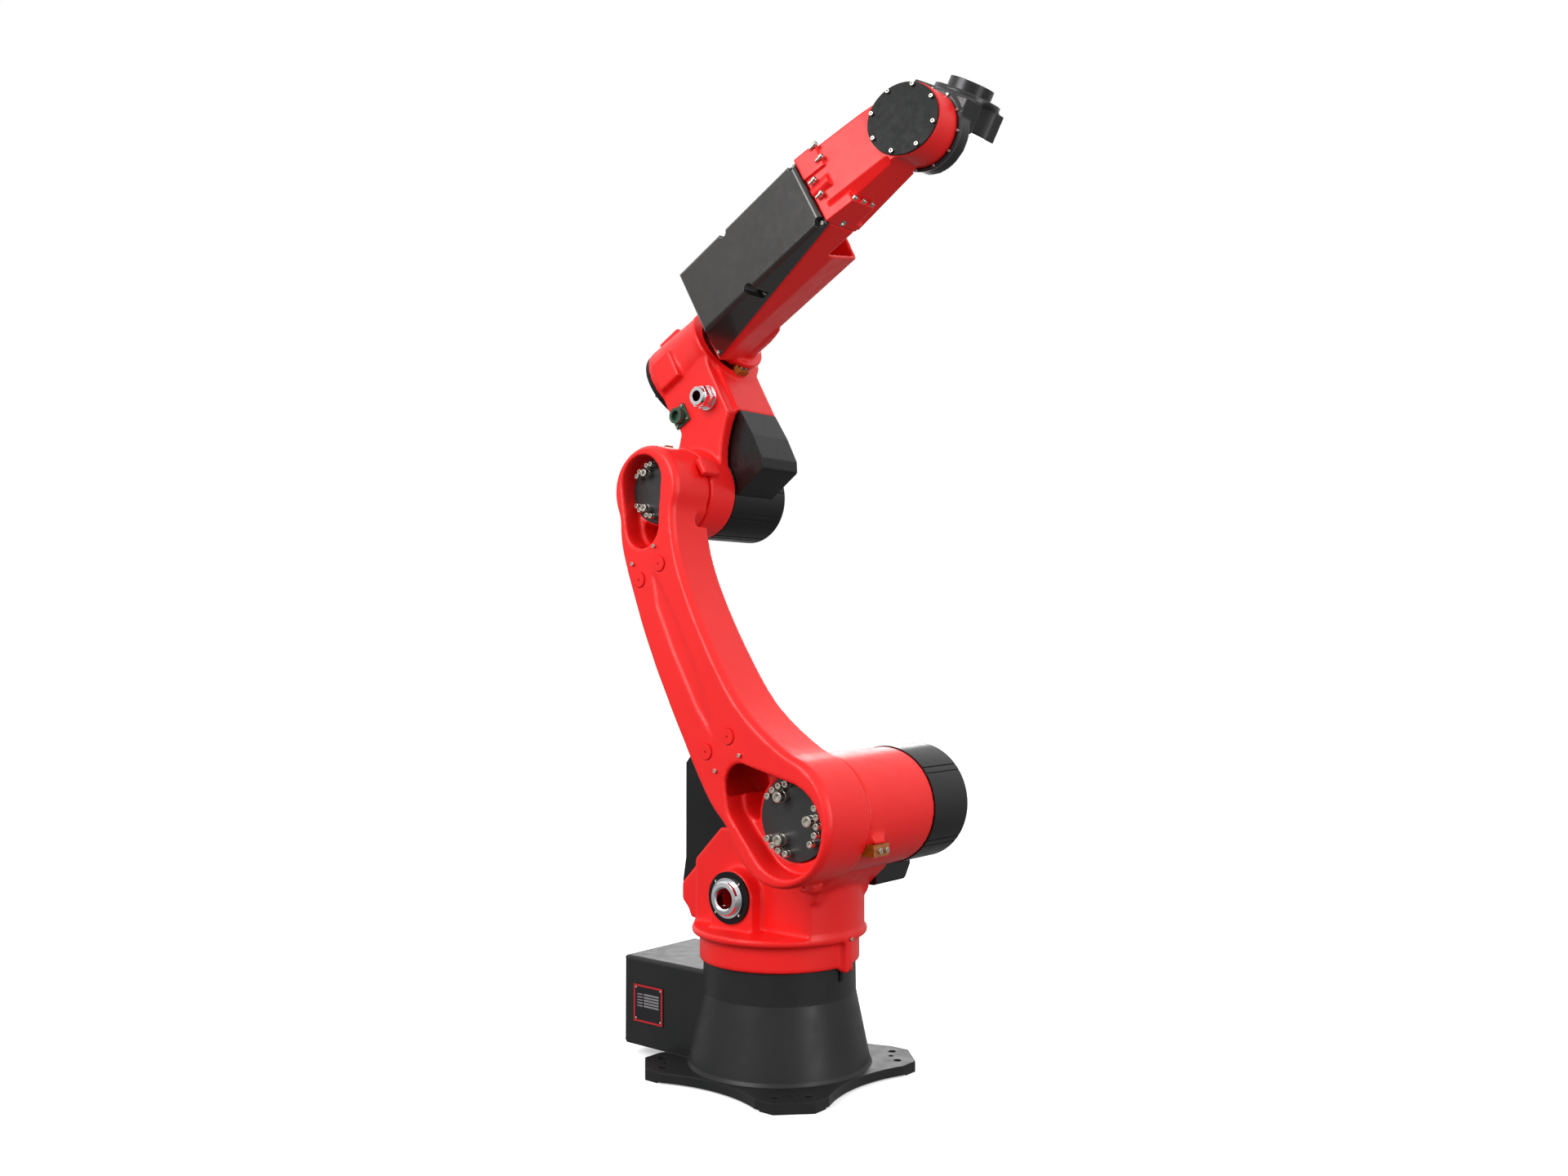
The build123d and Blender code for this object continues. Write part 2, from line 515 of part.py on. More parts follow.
def elbow_parts():
    node("elbow_casting", elbow_casting(), ELBOW)
    reducer = rod_y(91.8, HOUSE_Y0 + 1.5, -80.3) - rod_y(20, HOUSE_Y0, -79)
    node("j3_reducer", reducer, ELBOW)
    motor = rod_y(60, -80, -50) + box(-50, 50, -62, 90, -50, 50)
    motor -= rod_y(70, -80.1, -64.8) - rod_y(60, -80.1, -64.8)
    node("j3_motor", motor, ELBOW)
    node("j3_motor_cover", motor_cover(ELBOW_R, -65 + FIT, 122, (-100, -60, -20, 20, 200), 0, 0), ELBOW)
    motor = box(118, 184, -40, 40, -22, 58) + box(122, 180, -36, 36, 58, 104)
    node("j4_motor", motor, ELBOW)
    outline = [(197, 111.5), (201, 40), (198, -22), (186, -46), (78, -58), (62, 0), (62, 111.5)]
    room = [(192, 107), (196, 40), (193, -19), (182, -40), (82, -52), (66, 0), (66, 107)]
    cover = slab_y(outline, -62, 66)
    cover = fillet(cover.edges().filter_by(Axis.Y).sort_by(Axis.Z)[1:3], 9)
    cover -= rod_y(ELBOW_R + 1, -70, 70)
    cover -= slab_y(room, -58, 62) - rod_y(ELBOW_R + 5, -70, 70)
    node("j4_motor_cover", cover, ELBOW)
    hub = rod_x(91.8, J4_FACE - 95, J4_FACE - 50.5, 0, A3) - rod_x(51, 90, 200, 0, A3)
    node("j4_reducer", hub, ELBOW)
    at = (ELBOW_GLAND[0], ELBOW_NEAR - 0.1, ELBOW_GLAND[1])
    gland = aimed(cable_gland(20, 29), at, (0, -1, 0))
    node("elbow_cable_gland", gland, ELBOW)
    plug = box(32, 80, ELBOW_NEAR - 4, ELBOW_NEAR - 0.1, 163, 211)
    plug = fillet(plug.edges().filter_by(Axis.Y), 3) + rod_y(13.8, -101, -85, 56, 187)
    plug += rod_y(19, -116, -98, 56, 187)
    plug = plug - rod_y(12, -117, -104, 56, 187)
    screws = []
    for dx in (-18, 18):
        for dz in (-18, 18):
            plug -= rod_y(2.1, -100, -90, 56 + dx, 187 + dz)
            at = (56 + dx, ELBOW_NEAR - 4.05, 187 + dz)
            screws.append(aimed(cap_screw(4, 3.9), at, (0, -1, 0)))
    node("elbow_connector", plug, ELBOW)
    node("elbow_connector_screws", group(screws), ELBOW)
    cap = rod_x(107, TUBE_X0 - 12, TUBE_X0 - FIT, 0, A3)
    cap = fillet(cap.edges().group_by(Axis.X)[0], 3)
    screws = []
    for u, w in spread(98, 10, 18):
        cap -= rod_x(2.6, 0, TUBE_X0, u, A3 + w)
        at = (TUBE_X0 - 12.05, u, A3 + w)
        screws.append(aimed(cap_screw(5, 11), at, (-1, 0, 0)))
    node("j4_rear_cover", cap, ELBOW)
    node("j4_rear_cover_screws", group(screws), ELBOW)
    bumper = box(J4_FACE + 0.2, J4_FACE + 14, -16, 16, 221, 242)
    screws = []
    for y in (-8, 8):
        bumper -= rod_x(2.6, J4_FACE - 1, J4_FACE + 20, y, 231.5)
        at = (J4_FACE + 14.05, y, 231.5)
        screws.append(aimed(cap_screw(5, 13), at, (1, 0, 0)))
    node("j4_bumper", bumper, ELBOW)
    node("j4_bumper_screws", group(screws), ELBOW)


# ---- forearm -------------------------------------------------------------------------
FORE_END = 490.0      # the wrist casting bolts on here
PART_X0, PART_Y0 = 35.0, -108.0
PART_X1, PART_Y1 = 490.0, -200.0
COVER_NEAR = -225.0
FORE_Z = 84.0
SCOOP_X = 410.0       # far front end of the wide part
CREASE_X = 655.0      # the wrist's near face bends here
RAISED_X, PAD_X = 546.0, 562.0          # ends of the wrist casting's bolting pads
WRIST_SCREWS = [(RAISED_X, -217, 78), (RAISED_X, -217, 44), (FORE_END + 20.1, -222, 10),
                (FORE_END + 20.1, -222, -28), (PAD_X, -196, -77), (PAD_X, -165, -77), (PAD_X, -137, -77),
                (PAD_X, -133, 78), (PAD_X, -108, 78)]
LOCK_SCREW = (500.0, -166.0)            # countersunk, under the wrist casting's flange


def parting(x):
    return PART_Y0 + (PART_Y1 - PART_Y0) * (x - PART_X0) / (PART_X1 - PART_X0)


def wedge(x0, x1, shift, far, z0, z1):
    """The space on the +Y side of the parting plane, moved by shift."""
    points = [(x0, parting(x0) + shift), (x1, parting(x1) + shift), (x1, far), (x0, far)]
    face = make_face(Polyline([(x, y, z0) for x, y in points], close=True))
    return extrude(face, amount=z1 - z0, dir=(0, 0, 1))


def prism_z(points, z0, z1):
    """A prism along Z over a closed outline of (x, y) points."""
    face = make_face(Polyline([(x, y, z0) for x, y in points], close=True))
    return extrude(face, amount=z1 - z0, dir=(0, 0, 1))


def fore_casting():
    """A channel that is wide behind, open at its far front end, and narrow where the wrist bolts on."""
    wide = [(-240, -84), (-97, -84), (5, -60), (11, -4), (11, 4), (5, 60), (-97, 84), (-240, 84)]
    slim = [(-240, -84), (-116, -84), (-96, -62), (-96, 62), (-116, 84), (-240, 84)]
    body = slab_x(wide, 30, SCOOP_X) + slab_x(slim, SCOOP_X - 70, FORE_END)
    shoulder = prism_z([(30, -64), (30, 64), (150, 8), (150, -64)], -70, 70)
    body += rod_x(64, 30, 150) & shoulder
    body = body & wedge(-20, 600, 0, 200, -200, 200)
    body += rod_x(64, 0.6, 40) + rod_x(84, 21.5, 34)
    wide_room = [(-300, -76), (-99, -76), (-2, -54), (3, -4), (3, 4), (-2, 54), (-99, 76), (-300, 76)]
    slim_room = [(-300, -76), (-119, -76), (-104, -59), (-104, 59), (-119, 76), (-300, 76)]
    web = slab_x(slim, SCOOP_X - 70, SCOOP_X + 1) - slab_x(slim_room, SCOOP_X - 71, SCOOP_X + 2)
    body -= slab_x(wide_room, 40, SCOOP_X + 1) - web
    body -= slab_x(slim_room, SCOOP_X - 1, FORE_END - 8)
    body -= rod_x(56, 40, 150) & prism_z([(40, -60), (40, 50), (150, -2), (150, -60)], -70, 70)
    return body - rod_x(48, -1, 60)


def cover_screw_places():
    """(x, z, seat) of the forearm cover's screws, in the forearm's frame."""
    ends = [(50, parting(50) - 9), (254, parting(254) - 14), (480, parting(480) - 12)]
    return [(x, z, seat) for x, seat in ends for z in (-79, 79)]


def fore_cover():
    body = prism_z([(38, -109), (488, -200), (488, COVER_NEAR), (106, COVER_NEAR)], -FORE_Z, FORE_Z)
    top = body.faces().sort_by(Axis.Y)[0]
    body = fillet(top.outer_wire().edges(), 11)
    body -= wedge(-50, 700, -0.2, 200, -200, 200)
    room = prism_z([(46, -90), (482, -180), (482, COVER_NEAR + 4), (109, COVER_NEAR + 4)],
                   -FORE_Z + 4, FORE_Z - 4)
    for x, z, seat in cover_screw_places():
        room -= rod_y(16, -300, 0, x, z)
    body -= room
    for x, z, seat in cover_screw_places():
        body -= rod_y(12, -300, seat, x, z) + rod_y(2.7, -300, 0, x, z)
    return body


def fore_cover_screws():
    places = cover_screw_places()
    return group([aimed(cap_screw(5, 7), (x, seat - 0.05, z), (0, -1, 0)) for x, z, seat in places])


def fore_parts():
    node("forearm_casting", fore_casting(), FORE)
    node("forearm_cover", fore_cover(), FORE)
    node("forearm_cover_screws", fore_cover_screws(), FORE)
    shaft = rod_x(47.8, -60, 38) - rod_x(36, -61, 39)
    node("j4_hollow_shaft", shaft, FORE)
    for name, z in (("j5_motor", 36), ("j6_motor", -36)):
        motor = box(110, 210, -175, -115, z - 30, z + 30) + box(210.5, 218, -175, -115, z - 30, z + 30)
        motor += rod_x(16, 217, 250, -145, z) + box(209, 211, -175, -115, z - 30, z + 30)
        node(name, motor, FORE)
    node("wrist_casting", wrist_casting(), FORE)
    disc_parts()


def wrist_near(x):
    """Near face of the wrist casting between its flange and the crease."""
    crease_y = CUP_NEAR - (FORE_L - CREASE_X) * tan(radians(CUP_TILT))
    return -216 + (crease_y + 216) * (x - FORE_END) / (CREASE_X - FORE_END)


def wrist_casting():
    x0, x1 = FORE_END + 0.1, FORE_L
    flange = slab_x([(-230, -84), (-113, -84), (-93, -62), (-93, 62), (-113, 84), (-230, 84)], x0, x0 + 20)
    arm = slab_y([(x0, -74), (x1 - 20, -60), (x1, -60), (x1, 70), (x1 - 60, 74), (x0, 80)], -240, CUP_FAR)
    facet = slab_x([(-2, -44), (28, -84), (28, -120), (-40, -120), (-40, -44)], 22, 180)
    arm -= Location((FORE_END, wrist_near(FORE_END), 0), (0, 0, 9.1)) * facet
    cup = rod_y(WRIST_R, -240, CUP_FAR, x1, 0)
    low_pad = box(x0, PAD_X, -230, -127, -84, -60)
    top_pad = box(x0, PAD_X, -150, -98, 60, 84)
    body = flange + arm + cup + low_pad + top_pad
    tip = x1 + 100
    tip_y = CUP_NEAR + 100 * tan(radians(CUP_TILT))
    body -= prism_z([(x0 - 1, wrist_near(x0 - 1)), (CREASE_X, wrist_near(CREASE_X)), (tip, tip_y),
                     (tip, -400), (x0 - 1, -400)], -300, 300)
    near = wrist_near(x0) - 7
    raised = prism_z([(x0, near), (RAISED_X, wrist_near(RAISED_X) - 7), (RAISED_X, -150), (x0, -150)], 26, 84)
    boss = rod_x(15, x0, 540, wrist_near(515) + 6, -9)
    body += raised + boss
    body -= rod_y(66, -240, CUP_FAR + 1, x1, 0)
    body -= rod_y(89.5, CUP_FAR - 6, CUP_FAR + 1, x1, 0) - rod_y(WRIST_R, -200, 0, x1, 0)
    body -= slab_y([(x0 - 1, -60), (x1, -48), (x1, 48), (x0 - 1, 60)], -176, CUP_FAR - 9)
    for x, y, z in WRIST_SCREWS:
        body -= rod_x(4.1, x - 14, x + 1, y, z) + rod_x(6.6, x, x + 9, y, z)
    return body - rod_z(8.2, -85, -80, *LOCK_SCREW)


def disc_parts():
    tilt = FORE * Location((FORE_L, CUP_NEAR, 0), (0, 0, CUP_TILT))
    disc = rod_y(78.5, -5.2, -0.2)
    screws = []
    for u, w in spread(72, 8, 0):
        disc -= rod_y(3.1, -6, 1, u, w)
        screws.append(aimed(cap_screw(6, 4.6), (u, -5.25, w), (0, -1, 0)))
    node("wrist_side_cover", disc, tilt)
    node("wrist_side_cover_screws", group(screws), tilt)
    screws = [aimed(cap_screw(8, 12), (x + 0.05, y, z), (1, 0, 0)) for x, y, z in WRIST_SCREWS]
    lock = rod_z(8, -84, -80.1) - extrude(Pos(0, 0, -85) * RegularPolygon(4, 6), 3)
    screws.append(Pos(*LOCK_SCREW, 0) * lock)
    node("wrist_flange_screws", group(screws), FORE)


# ---- wrist and tool ------------------------------------------------------------------
def wrist_unit():
    """The housing past joint 5: a plate that tapers from the ring, and the drum of joint 6."""
    ring = rod_y(88, CUP_FAR + GAP, -86)
    plate = hull_y([(0, 0, 85), (-50, 44, 18), (50, 44, 18)], -86.5, -50)
    plate += box(-68, 68, -86.5, -29, 26, 90)
    block = box(-65, 65, -51, 64, 31, 90)
    drum = rod_z(72, 31, 90)
    tab = box(-84, -60, -84, -58, 76, 90)
    return ring + plate + block + drum + tab


def wrist_parts():
    body = wrist_unit() + rod_z(75, 90, 102)
    body -= rod_z(40, 60, 103)
    node("j6_reducer", rod_z(39.8, 62, 102.5) - rod_z(12, 60, 104), WRIST)
    screws = []
    for u, w in spread(84, 12, 15):
        body -= rod_y(2.1, CUP_FAR, CUP_FAR + 8, u, w)
        screws.append(aimed(cap_screw(4, 4.5), (u, CUP_FAR + GAP - 0.05, w), (0, -1, 0)))
    node("wrist_housing", body, WRIST)
    node("wrist_ring_screws", group(screws), WRIST)
    flange = rod_z(FLANGE_R, 103, 126)
    flange = chamfer(flange.edges().group_by(Axis.Z)[-1], 1)
    flange -= rod_z(PILOT_D / 2, 118, 127) + rod_z(15, 102, 127)
    for u, w in spread(PCD / 2, 6, 0):
        flange -= rod_z(3.4, 110, 127, u, w)
    flange -= rod_z(4, 116, 127, PCD / 2 * cos(radians(30)), PCD / 2 * sin(radians(30)))
    node("tool_flange", flange, WRIST)


# ---- main ----------------------------------------------------------------------------
def main():
    os.makedirs("parts", exist_ok=True)
    base_parts()
    column_parts()
    arm_parts()
    elbow_parts()
    fore_parts()
    wrist_parts()
    for name, shape in PARTS.items():
        export_step(shape, f"parts/{name}.step")


main()
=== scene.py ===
import json
import math

import bmesh
import bpy
from mathutils import Matrix, Vector


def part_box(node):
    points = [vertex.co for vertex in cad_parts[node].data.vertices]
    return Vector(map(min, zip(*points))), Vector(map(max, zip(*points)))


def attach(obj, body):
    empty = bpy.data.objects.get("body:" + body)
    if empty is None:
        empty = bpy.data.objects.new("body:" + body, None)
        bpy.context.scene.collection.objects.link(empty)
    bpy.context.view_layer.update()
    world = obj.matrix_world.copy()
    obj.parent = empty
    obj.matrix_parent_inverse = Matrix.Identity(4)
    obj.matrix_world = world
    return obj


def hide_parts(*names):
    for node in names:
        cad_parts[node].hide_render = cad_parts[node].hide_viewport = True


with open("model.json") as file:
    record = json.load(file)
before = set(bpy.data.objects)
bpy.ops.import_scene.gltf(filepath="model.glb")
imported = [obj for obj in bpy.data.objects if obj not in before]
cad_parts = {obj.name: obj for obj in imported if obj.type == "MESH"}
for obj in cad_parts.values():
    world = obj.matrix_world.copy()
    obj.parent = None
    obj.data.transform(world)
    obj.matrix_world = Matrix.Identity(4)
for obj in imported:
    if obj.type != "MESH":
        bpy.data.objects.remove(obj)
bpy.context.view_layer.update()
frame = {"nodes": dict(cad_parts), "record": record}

nodes = frame["nodes"]

WELD = 0.00002              # metres: vertices closer than this are one
SMOOTHING = 0.5
STAGE_RADIUS = 30           # metres
FLOOR_Z = -0.0005
BORDER_INSET = 0.0015
BORDER_WIDTH = 0.0045
BORDER_HEIGHT = 0.0005
BAR_HEIGHT = 0.0003
BAR_ROWS = 5
RIVET_INSET = 0.009
CAMERA_AT = (2.1013, -2.5533, 1.0004)
CAMERA_TILT, CAMERA_TURN = math.radians(91.96), math.radians(39.277)
FOCAL_MM = 32.5
SENSOR_MM = 36.0


# ---- node helpers --------------------------------------------------------------------
class Look:
    """One procedural material: a Principled shader and short ways to add to it."""

    def __init__(self, name, color, roughness, metallic=0.0):
        self.mat = bpy.data.materials.new(name)
        self.mat.use_nodes = True
        self.tree = self.mat.node_tree
        self.shader = self.tree.nodes["Principled BSDF"]
        self.color = (*color, 1.0)
        self.shader.inputs["Base Color"].default_value = self.color
        self.shader.inputs["Roughness"].default_value = roughness
        self.shader.inputs["Metallic"].default_value = metallic
        self.roughness = roughness
        self.height = None
        self.coords = self.tree.nodes.new("ShaderNodeTexCoord").outputs["Object"]

    def set(self, **values):
        for name, value in values.items():
            self.shader.inputs[name.replace("_", " ")].default_value = value
        return self

    def noise(self, scale, detail=3.0, rough=0.5):
        node = self.tree.nodes.new("ShaderNodeTexNoise")
        node.inputs["Scale"].default_value = scale
        node.inputs["Detail"].default_value = detail
        node.inputs["Roughness"].default_value = rough
        self.tree.links.new(self.coords, node.inputs["Vector"])
        return node.outputs["Fac"]

    def spread(self, source, low, high):
        """Maps a noise's usual 0.3 to 0.7 onto low to high."""
        node = self.tree.nodes.new("ShaderNodeMapRange")
        node.inputs["From Min"].default_value = 0.3
        node.inputs["From Max"].default_value = 0.7
        node.inputs["To Min"].default_value = low
        node.inputs["To Max"].default_value = high
        self.tree.links.new(source, node.inputs["Value"])
        return node.outputs["Result"]

    def tint(self, scale, other, amount):
        """Soft patches of a second colour."""
        mix = self.tree.nodes.new("ShaderNodeMix")
        mix.data_type = "RGBA"
        mix.inputs["A"].default_value = self.color
        mix.inputs["B"].default_value = (*other, 1.0)
        self.tree.links.new(self.spread(self.noise(scale), 0.0, amount), mix.inputs["Factor"])
        self.tree.links.new(mix.outputs["Result"], self.shader.inputs["Base Color"])
        return self

    def rough_patches(self, scale, amount):
        low, high = self.roughness - amount, self.roughness + amount
        self.tree.links.new(self.spread(self.noise(scale), low, high), self.shader.inputs["Roughness"])
        return self

    def grain(self, scale, depth, detail=2.0, edge=0.0):
        """Surface texture of a depth in metres, with edges rounded by a radius in metres."""
        bump = self.tree.nodes.new("ShaderNodeBump")
        bump.inputs["Distance"].default_value = depth
        bump.inputs["Strength"].default_value = 1.0
        self.tree.links.new(self.noise(scale, detail), bump.inputs["Height"])
        if edge:
            bevel = self.tree.nodes.new("ShaderNodeBevel")
            bevel.samples = 4
            bevel.inputs["Radius"].default_value = edge
            self.tree.links.new(bevel.outputs["Normal"], bump.inputs["Normal"])
        self.tree.links.new(bump.outputs["Normal"], self.shader.inputs["Normal"])
        return self


def red_paint():
    look = Look("red_paint", (0.88, 0.012, 0.011), 0.40).set(Coat_Weight=0.15, Coat_Roughness=0.2)
    look.set(Specular_IOR_Level=0.3).tint(5, (0.82, 0.009, 0.009), 0.8).rough_patches(38, 0.05)
    return look.grain(620, 0.00006, 3.0, 0.003).mat


def dark_iron():
    look = Look("dark_iron", (0.010, 0.0105, 0.011), 0.40).set(Specular_IOR_Level=0.35)
    look.tint(6, (0.016, 0.016, 0.0165), 0.8).rough_patches(30, 0.06)
    return look.grain(540, 0.00008, 3.0, 0.003).mat


def black_cover():
    look = Look("black_cover", (0.004, 0.0045, 0.005), 0.28).tint(8, (0.007, 0.0075, 0.008), 0.7)
    return look.set(Specular_IOR_Level=0.35).rough_patches(45, 0.05).grain(900, 0.00004, 2.0, 0.002).mat


def gloss_cover():
    look = Look("gloss_cover", (0.020, 0.018, 0.017), 0.24).set(Coat_Weight=0.6, Coat_Roughness=0.12)
    look.tint(7, (0.028, 0.025, 0.023), 0.7).rough_patches(60, 0.04)
    return look.grain(1100, 0.00003, 2.0, 0.003).mat


def black_sheet():
    look = Look("black_sheet", (0.004, 0.0045, 0.005), 0.45).tint(12, (0.008, 0.0085, 0.009), 0.8)
    return look.set(Specular_IOR_Level=0.2).rough_patches(80, 0.08).grain(700, 0.00007, 3.0, 0.001).mat


def black_steel():
    look = Look("black_steel", (0.035, 0.037, 0.038), 0.38, 0.35).tint(9, (0.05, 0.052, 0.054), 0.7)
    return look.rough_patches(70, 0.07).grain(400, 0.00004, 3.0, 0.001).mat


def wrist_metal():
    look = Look("wrist_metal", (0.045, 0.044, 0.046), 0.30, 0.7).tint(14, (0.065, 0.063, 0.065), 0.8)
    return look.rough_patches(55, 0.05).grain(900, 0.000015, 2.0, 0.0015).mat


def nickel():
    look = Look("nickel", (0.72, 0.69, 0.62), 0.22, 1.0).tint(40, (0.62, 0.59, 0.53), 0.8)
    return look.rough_patches(160, 0.08).grain(1500, 0.00002, 2.0, 0.0004).mat


def chrome():
    look = Look("chrome", (0.86, 0.87, 0.89), 0.07, 1.0).tint(25, (0.80, 0.81, 0.84), 0.6)
    return look.rough_patches(90, 0.03).grain(1200, 0.00001, 2.0, 0.0006).mat


def gear_steel():
    look = Look("gear_steel", (0.45, 0.46, 0.48), 0.35, 1.0).tint(20, (0.38, 0.39, 0.41), 0.8)
    return look.rough_patches(90, 0.1).grain(800, 0.00003).mat


def motor_black():
    look = Look("motor_black", (0.03, 0.03, 0.033), 0.55).tint(15, (0.045, 0.045, 0.048), 0.8)
    return look.rough_patches(60, 0.08).grain(700, 0.00008, 3.0, 0.001).mat


def amber():
    look = Look("amber", (0.62, 0.22, 0.02), 0.2).set(Transmission_Weight=0.45, IOR=1.5, Coat_Weight=0.4)
    return look.tint(30, (0.36, 0.10, 0.01), 0.9).rough_patches(70, 0.05).grain(500, 0.00005, 2.0, 0.001).mat


def green():
    look = Look("green", (0.018, 0.060, 0.035), 0.38).tint(30, (0.030, 0.085, 0.050), 0.8)
    return look.rough_patches(90, 0.06).grain(900, 0.00005, 2.0, 0.001).mat


def label():
    look = Look("label", (0.010, 0.009, 0.012), 0.34, 0.3).tint(25, (0.018, 0.016, 0.020), 0.7)
    return look.rough_patches(90, 0.05).grain(1200, 0.00002).mat


def label_red():
    look = Look("label_red", (0.55, 0.012, 0.016), 0.4).tint(30, (0.42, 0.008, 0.012), 0.7)
    return look.rough_patches(70, 0.05).grain(900, 0.00002).mat


def label_grey():
    look = Look("label_grey", (0.30, 0.29, 0.30), 0.4, 0.3).tint(40, (0.22, 0.21, 0.22), 0.7)
    return look.rough_patches(70, 0.05).grain(900, 0.00002).mat


LOOKS = {
    "red_iron_casting": red_paint(),
    "dark_iron_casting": dark_iron(),
    "dark_wrist_metal": wrist_metal(),
    "black_cover": black_cover(),
    "black_gloss_cover": gloss_cover(),
    "black_sheet": black_sheet(),
    "black_steel": black_steel(),
    "nickel_fastener": nickel(),
    "chrome_gland": chrome(),
    "gear_steel": gear_steel(),
    "motor_black": motor_black(),
    "amber_bumper": amber(),
    "green_connector": green(),
    "label_plate": label(),
}
LOOKS["red_aluminium_casting"] = LOOKS["red_iron_casting"]
slot_of = {row["node"]: row["material_slot"] for row in frame["record"]["subparts"]}


def paint(piece, material):
    piece.data.materials.clear()
    piece.data.materials.append(material)


for name, piece in nodes.items():
    paint(piece, LOOKS[slot_of[name]])


# ---- castings with soft edges ------------------------------------------------------------
def bake(piece):
    """Applies the piece's modifiers to its mesh."""
    shown = piece.evaluated_get(bpy.context.evaluated_depsgraph_get())
    mesh = bpy.data.meshes.new_from_object(shown)
    piece.modifiers.clear()
    piece.data = mesh


def soften(node, body, voxel, rounds):
    """A copy of a casting whose edges and inside corners are rounded, as a foundry pattern leaves them."""
    piece = bpy.data.objects.new(node + "_soft", nodes[node].data.copy())
    bpy.context.scene.collection.objects.link(piece)
    weld = piece.modifiers.new("weld", "WELD")
    weld.merge_threshold = WELD
    remesh = piece.modifiers.new("remesh", "REMESH")
    remesh.mode = "VOXEL"
    remesh.voxel_size = voxel
    remesh.use_smooth_shade = True
    smooth = piece.modifiers.new("smooth", "SMOOTH")
    smooth.factor = SMOOTHING
    smooth.iterations = rounds
    bake(piece)
    paint(piece, LOOKS[slot_of[node]])
    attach(piece, body)
    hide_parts(node)


soften("column_casting", "column", 0.0038, 8)
soften("lower_arm_casting", "lower_arm", 0.0037, 6)
soften("elbow_casting", "elbow", 0.0030, 9)
soften("forearm_casting", "forearm", 0.0030, 5)
soften("wrist_casting", "forearm", 0.0018, 3)
soften("wrist_housing", "wrist", 0.0025, 4)


# ---- nameplate: a border, blank bars and rivets in place of the lettering ------------------------
def detail(name, form, body, slot, material):
    mesh = bpy.data.meshes.new(name)
    form.to_mesh(mesh)
    piece = bpy.data.objects.new(name, mesh)
    bpy.context.scene.collection.objects.link(piece)
    paint(piece, material)
    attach(piece, body)


def raise_bar(form, x, z, face, height):
    """A raised bar over the spans x and z, its edges chamfered, standing out of the face at low Y."""
    made = bmesh.ops.create_cube(form, size=1.0)["verts"]
    bmesh.ops.scale(form, vec=(x[1] - x[0], height, z[1] - z[0]), verts=made)
    bmesh.ops.translate(form, vec=((x[0] + x[1]) / 2, face - height / 2, (z[0] + z[1]) / 2), verts=made)
    edges = list({edge for vert in made for edge in vert.link_edges})
    bmesh.ops.bevel(form, geom=edges, offset=height / 4, segments=2, affect="EDGES")


def nameplate_border(low, high):
    left, right = low.x + BORDER_INSET, high.x - BORDER_INSET
    foot, head = low.z + BORDER_INSET, high.z - BORDER_INSET
    inner_left, inner_right = left + BORDER_WIDTH, right - BORDER_WIDTH
    inner_foot, inner_head = foot + BORDER_WIDTH, head - BORDER_WIDTH
    form = bmesh.new()
    raise_bar(form, (left, right), (foot, inner_foot), low.y, BORDER_HEIGHT)
    raise_bar(form, (left, right), (inner_head, head), low.y, BORDER_HEIGHT)
    raise_bar(form, (left, inner_left), (inner_foot, inner_head), low.y, BORDER_HEIGHT)
    raise_bar(form, (inner_right, right), (inner_foot, inner_head), low.y, BORDER_HEIGHT)
    detail("nameplate_border", form, "base", "label_plate", label_red())


def nameplate_bars(low, high):
    """Rows of a short bar and a long one, placed by shares of the plate's width and height."""
    wide, tall = high.x - low.x, high.z - low.z
    short = (low.x + wide * 0.14, low.x + wide * 0.32)
    long = (low.x + wide * 0.36, low.x + wide * 0.86)
    form = bmesh.new()
    for row in range(BAR_ROWS):
        z = low.z + tall * (0.42 + 0.075 * row)
        raise_bar(form, short, (z, z + tall * 0.03), low.y, BAR_HEIGHT)
        raise_bar(form, long, (z, z + tall * 0.045), low.y, BAR_HEIGHT)
    detail("nameplate_bars", form, "base", "label_plate", label_grey())


def nameplate_rivets(low, high):
    form = bmesh.new()
    for x in (low.x + RIVET_INSET, high.x - RIVET_INSET):
        for z in (low.z + RIVET_INSET, high.z - RIVET_INSET):
            head = bmesh.ops.create_cone(
                form, cap_ends=True, segments=20, radius1=0.0026, radius2=0.0014, depth=0.0012
            )["verts"]
            bmesh.ops.rotate(form, matrix=Matrix.Rotation(math.radians(90), 3, "X"), verts=head)
            bmesh.ops.translate(form, vec=(x, low.y - 0.0005, z), verts=head)
    detail("nameplate_rivets", form, "base", "nickel_fastener", LOOKS["nickel_fastener"])


plate_low, plate_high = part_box("nameplate")
nameplate_border(plate_low, plate_high)
nameplate_bars(plate_low, plate_high)
nameplate_rivets(plate_low, plate_high)


# ---- stage, light and camera -----------------------------------------------------------
def stage_piece(name, form, material):
    """A piece of the studio. It shows to the camera and leaves the light on the robot alone."""
    mesh = bpy.data.meshes.new(name)
    form.to_mesh(mesh)
    piece = bpy.data.objects.new(name, mesh)
    bpy.context.scene.collection.objects.link(piece)
    paint(piece, material)
    piece.visible_diffuse = False
    piece.visible_glossy = False
    return piece


def pale_floor():
    look = Look("floor_pale", (0.86, 0.86, 0.86), 0.7).tint(0.6, (0.84, 0.84, 0.84), 0.8)
    look.rough_patches(2, 0.05).grain(90, 0.0002)
    look.set(Emission_Color=(1, 1, 1, 1), Emission_Strength=0.42)
    form = bmesh.new()
    bmesh.ops.create_circle(form, cap_ends=True, segments=96, radius=STAGE_RADIUS)
    stage_piece("floor", form, look.mat).location.z = FLOOR_Z


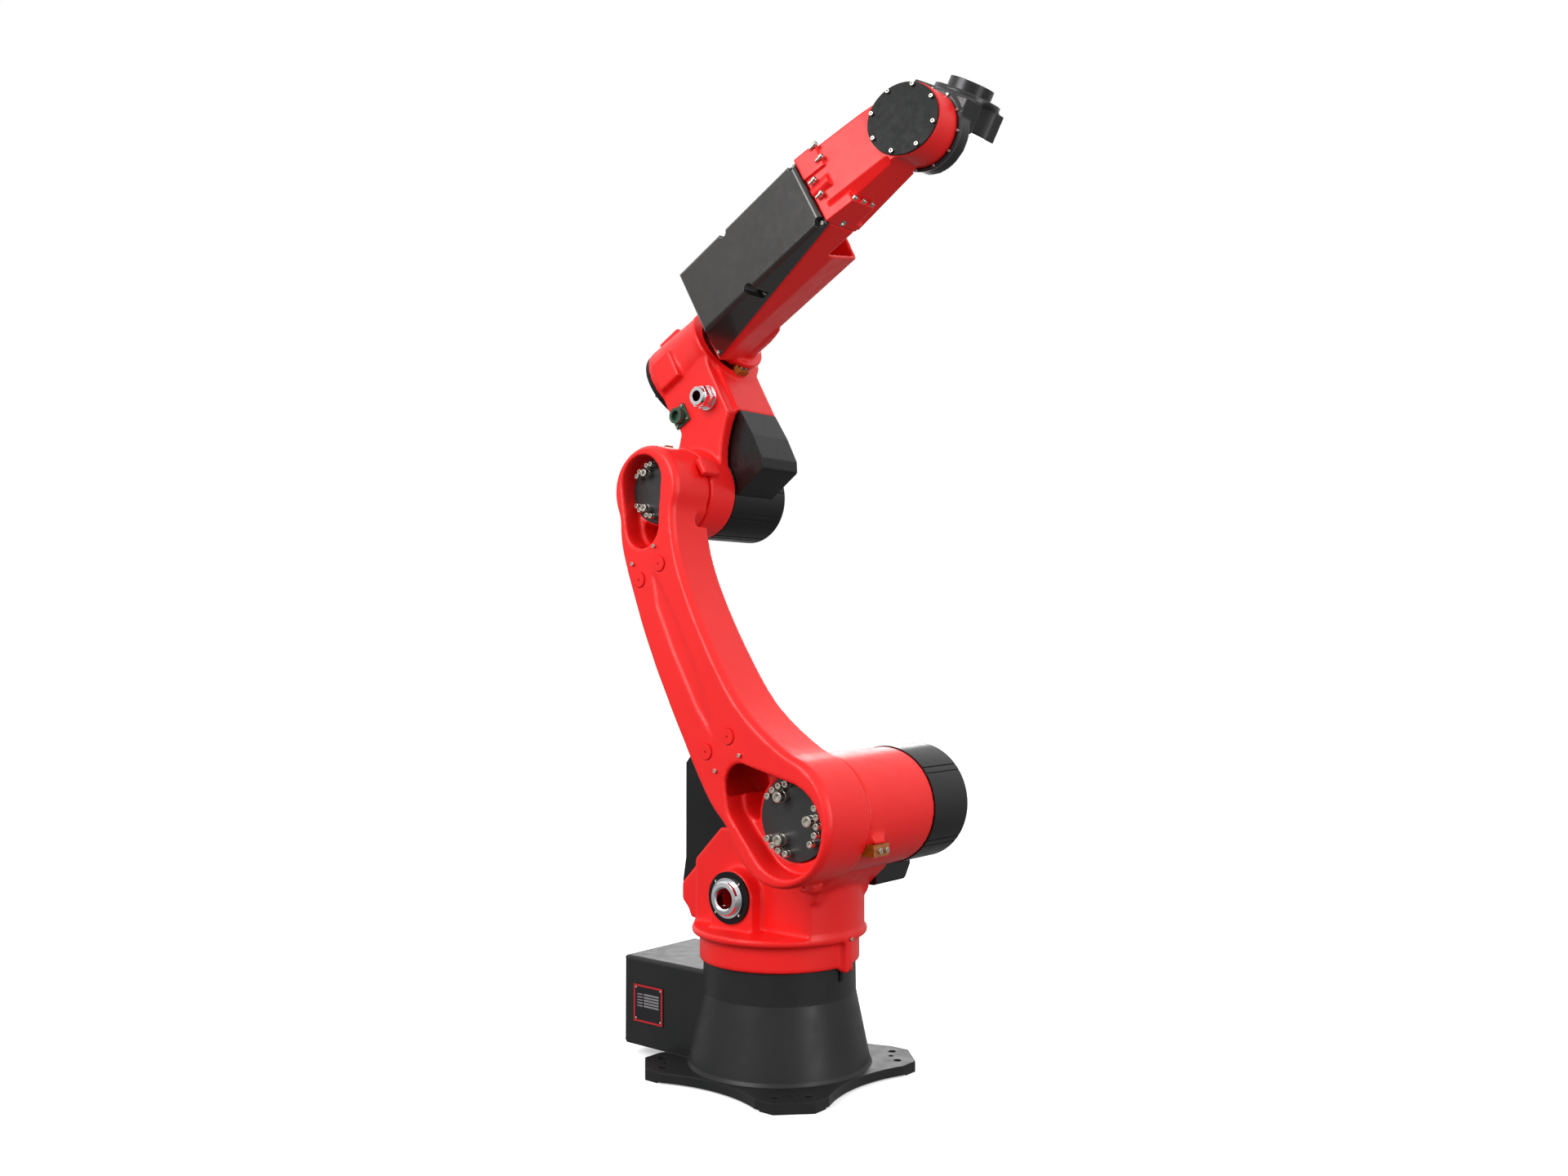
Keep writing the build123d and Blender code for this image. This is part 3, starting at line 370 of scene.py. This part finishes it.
def white_dome():
    look = Look("dome_white", (0, 0, 0), 1.0)
    look.set(Emission_Color=(1, 1, 1, 1), Emission_Strength=1.0, Specular_IOR_Level=0.0)
    form = bmesh.new()
    bmesh.ops.create_uvsphere(form, u_segments=64, v_segments=32, radius=STAGE_RADIUS)
    dome = stage_piece("dome", form, look.mat)
    dome.visible_shadow = False


def soft_light(name, at, towards, size, power):
    light = bpy.data.lights.new(name, "AREA")
    light.shape = "RECTANGLE"
    light.size, light.size_y = size
    light.energy = power
    lamp = bpy.data.objects.new(name, light)
    lamp.location = at
    lamp.rotation_euler = (Vector(towards) - Vector(at)).to_track_quat("-Z", "Y").to_euler()
    bpy.context.scene.collection.objects.link(lamp)


def sky():
    """Even light from above that fades below the horizon."""
    world = bpy.data.worlds.new("studio")
    world.use_nodes = True
    tree = world.node_tree
    split = tree.nodes.new("ShaderNodeSeparateXYZ")
    level = tree.nodes.new("ShaderNodeMapRange")
    level.interpolation_type = "SMOOTHSTEP"
    level.inputs["From Min"].default_value = -0.7
    level.inputs["From Max"].default_value = 0.8
    level.inputs["To Min"].default_value = 0.16
    level.inputs["To Max"].default_value = 1.0
    tree.links.new(tree.nodes.new("ShaderNodeTexCoord").outputs["Generated"], split.inputs["Vector"])
    tree.links.new(split.outputs["Z"], level.inputs["Value"])
    tree.links.new(level.outputs["Result"], tree.nodes["Background"].inputs["Strength"])
    tree.nodes["Background"].inputs["Color"].default_value = (1, 1, 1, 1)
    bpy.context.scene.world = world


def studio():
    middle = (0.0, 0.0, 1.1)
    soft_light("key", (-0.6, -3.8, 3.0), middle, (2.0, 2.4), 112)
    soft_light("fill", (4.2, -0.4, 1.8), middle, (1.4, 3.0), 55)
    soft_light("back", (-2.5, 3.2, 2.6), middle, (2.0, 2.4), 60)


def camera():
    lens = bpy.data.cameras.new("camera")
    lens.lens = FOCAL_MM
    lens.sensor_width = SENSOR_MM
    view = bpy.data.objects.new("camera", lens)
    view.location = CAMERA_AT
    view.rotation_euler = (CAMERA_TILT, 0.0, CAMERA_TURN)
    bpy.context.scene.collection.objects.link(view)
    bpy.context.scene.camera = view


bpy.context.scene.view_settings.view_transform = "Standard"
pale_floor()
white_dome()
sky()
studio()
camera()
